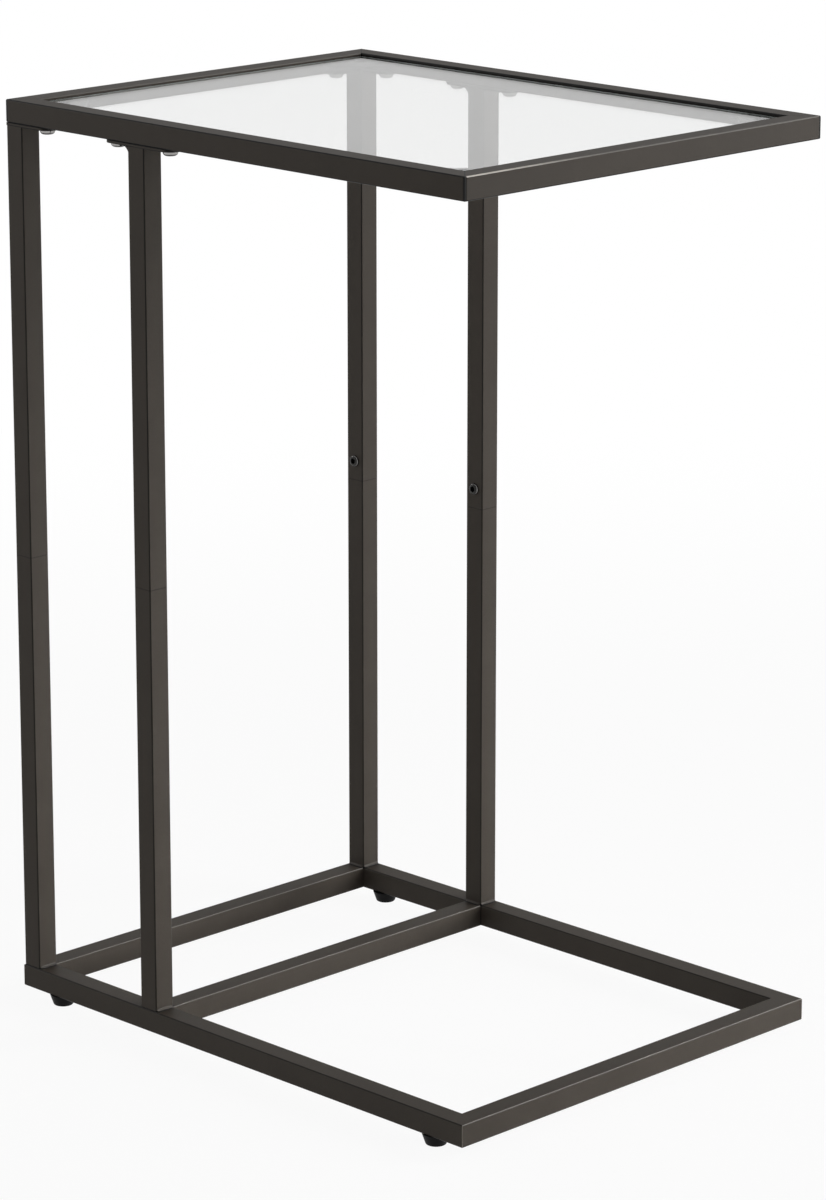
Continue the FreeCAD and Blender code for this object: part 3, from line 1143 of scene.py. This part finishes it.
def loose_parts(node: Object) -> list[list[Vector]]:
    """Group a node's corners by the solid that each belongs to.

    Args:
        node: a frame node that holds several solids.

    Returns:
        The corners of each solid.
    """
    mesh = bmesh.new()
    mesh.from_mesh(node.data)
    bmesh.ops.remove_doubles(mesh, verts=mesh.verts, dist=SAME_SOLID)
    unseen, parts = set(mesh.verts), []
    while unseen:
        queue, part = [unseen.pop()], []
        while queue:
            corner = queue.pop()
            part.append(corner.co.copy())
            for edge in corner.link_edges:
                other = edge.other_vert(corner)
                if other in unseen:
                    unseen.remove(other)
                    queue.append(other)
        parts.append(part)
    mesh.free()
    return parts


@dataclass
class LevellingFeet:
    """The tapered plastic feet, and the plated bolts, nuts and sleeves inside the tubes."""

    bottom_edge: float = 1.3 * MM
    bottom_edge_steps: int = 8
    top_edge: float = 0.35 * MM
    top_edge_steps: int = 4
    bottom_radius: float = 7.25 * MM
    sole_width: float = 1.8 * MM  # flat ring that the foot stands on
    dish_slope: float = 0.4 * MM  # run of the slope inside that ring
    dish_height: float = 0.35 * MM
    sides: int = 72
    plastic: MouldedPlastic = MouldedPlastic()
    plating: PlatedSteel = PlatedSteel("zinc_plate", (0.62, 0.62, 0.64), (0.5, 0.5, 0.51), 0.3)

    def model(self, radius: float, height: float) -> Object:
        """Model one foot at the origin.

        Args:
            radius: its radius at the top.
            height: its height.

        Returns:
            The foot.
        """
        edge, rim = self.bottom_edge, self.top_edge
        slope = math.degrees(math.atan2(radius - self.bottom_radius, height))
        sole = self.bottom_radius - edge
        dish = sole - self.sole_width
        outline = [(dish - self.dish_slope, self.dish_height), (dish, 0.0)]
        outline += arc((sole, edge), edge, -90, -slope, self.bottom_edge_steps)
        outline += arc((radius - rim, height - rim), rim, -slope, 90, self.top_edge_steps)
        return settle(turned("foot", outline, self.sides))

    def dress(self) -> None:
        """Model and dress each foot, and plate the bolts, nuts and sleeves."""
        black, zinc = self.plastic.material(), self.plating.material()
        for corner in Corner:
            low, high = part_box("foot_" + corner.value)
            middle = (low + high) / 2
            master = self.model((high.x - low.x) / 2, high.z - low.z)
            place = Matrix.Translation((middle.x, middle.y, low.z))
            foot = copies(master, [place], corner.value + "_glide")[0]
            coat(foot, black)
            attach(foot, corner.value + "_foot")
            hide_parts("foot_" + corner.value)
            LOG.info("%s: moulded plastic", foot.name)
        for name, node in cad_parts.items():
            if name.startswith("foot_bolt_") or name.endswith(("_nuts", "_sleeve")):
                coat(node, zinc)
                LOG.info("%s: zinc plated", name)


# ---- the studio ----
@dataclass
class Lamp:
    """A soft rectangular lamp that points at a place on the table."""

    name: str
    place: Point
    width: float
    height: float
    power: float
    target: Point = (0.0, 0.0, 0.33)
    spread: float = 180.0

    def hang(self) -> None:
        """Put the lamp in the scene."""
        light = bpy.data.lights.new(self.name, "AREA")
        light.shape, light.size, light.size_y = "RECTANGLE", self.width, self.height
        light.energy, light.spread = self.power, math.radians(self.spread)
        lamp = bpy.data.objects.new(self.name, light)
        bpy.context.scene.collection.objects.link(lamp)
        lamp.location = self.place
        lamp.visible_camera = False
        aim = Vector(self.target) - Vector(self.place)
        lamp.rotation_euler = aim.to_track_quat("-Z", "Y").to_euler()


@dataclass
class Studio:
    """Floor, lamps, surroundings and camera."""

    floor_reach: float = 30.0
    floor: PaleFloor = field(default_factory=PaleFloor)
    ambient: float = 0.36
    ceiling: float = 0.14
    ceiling_start: Pair = (0.1, 0.8)
    upper_wall: float = 0.8
    dimming: Pair = (0.0, 0.13)
    lamps: tuple[Lamp, ...] = (
        Lamp("key_lamp", (1.6, 1.7, 1.05), 0.9, 1.5, 43.5, (0.1, 0.05, 0.35)),
        Lamp("strip_lamp", (0.75, 2.6, 2.9), 2.4, 0.1, 6.0),
        Lamp("low_lamp", (1.8, 1.2, 0.2), 0.5, 0.3, 0.5, (0.0, 0.0, 0.08), 22.0),
        Lamp("kick_lamp", (-2.0, -1.0, 1.0), 0.1, 0.9, 7.0, (0.0, 0.0, 0.6)),
        Lamp("spark_lamp", (-0.35, -2.6, 0.95), 0.08, 0.08, 1.2, (0.0, 0.0, 0.4)),
    )
    camera_place: Point = (2.1706, -2.1605, 1.1316)
    camera_heading: float = 135.08
    camera_dip: float = 14.51
    camera_lens: float = 136.8
    camera_sensor: float = 36.0
    camera_shift: float = -0.040
    camera_sight: float = 200.0

    def lay_floor(self) -> None:
        """Lay the floor under the feet."""
        deselect()
        bpy.ops.mesh.primitive_plane_add(size=2 * self.floor_reach)
        floor = bpy.context.object
        floor.name = "floor"
        coat(floor, self.floor.material())
        floor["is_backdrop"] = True

    def surround(self) -> None:
        """Make white surroundings that light the table gently."""
        world = bpy.data.worlds.new("studio")
        bpy.context.scene.world = world
        world.use_nodes = True
        graph = Graph(world.node_tree)
        height = graph.parts(graph.add("ShaderNodeTexCoord", {}, {}).outputs["Generated"])[2]
        white = 1.0 - height.between(*self.dimming) * (1.0 - self.upper_wall)
        soft = self.ambient - height.between(*self.ceiling_start) * (self.ambient - self.ceiling)
        strength = graph.seen() * (white - soft) + soft
        back = graph.add("ShaderNodeBackground", {}, {"Color": WHITE, "Strength": strength})
        graph.output(back.outputs[0])

    def place_camera(self) -> None:
        """Put the camera at its place and heading."""
        data = bpy.data.cameras.new("camera")
        data.lens, data.sensor_width = self.camera_lens, self.camera_sensor
        data.shift_y, data.clip_end = self.camera_shift, self.camera_sight
        camera = bpy.data.objects.new("camera", data)
        bpy.context.scene.collection.objects.link(camera)
        heading, dip = math.radians(self.camera_heading), math.radians(self.camera_dip)
        level = math.cos(dip)
        ahead = Vector((math.cos(heading) * level, math.sin(heading) * level, -math.sin(dip)))
        camera.location = self.camera_place
        camera.rotation_euler = ahead.to_track_quat("-Z", "Y").to_euler()
        bpy.context.scene.camera = camera

    def build(self) -> None:
        """Build the whole studio."""
        self.lay_floor()
        self.surround()
        for lamp in self.lamps:
            lamp.hang()
        self.place_camera()
        bpy.context.scene.view_settings.view_transform = "Standard"


def main() -> None:
    """Dress the table and set up the studio."""
    logging.basicConfig(level=logging.INFO, format="%(name)s: %(message)s")
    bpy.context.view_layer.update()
    for part in (TubeFrame(), WeldBeads(), GlassTop(), ButtonScrews(), LevellingFeet()):
        part.dress()
    Studio().build()


if __name__ == "__main__":
    main()
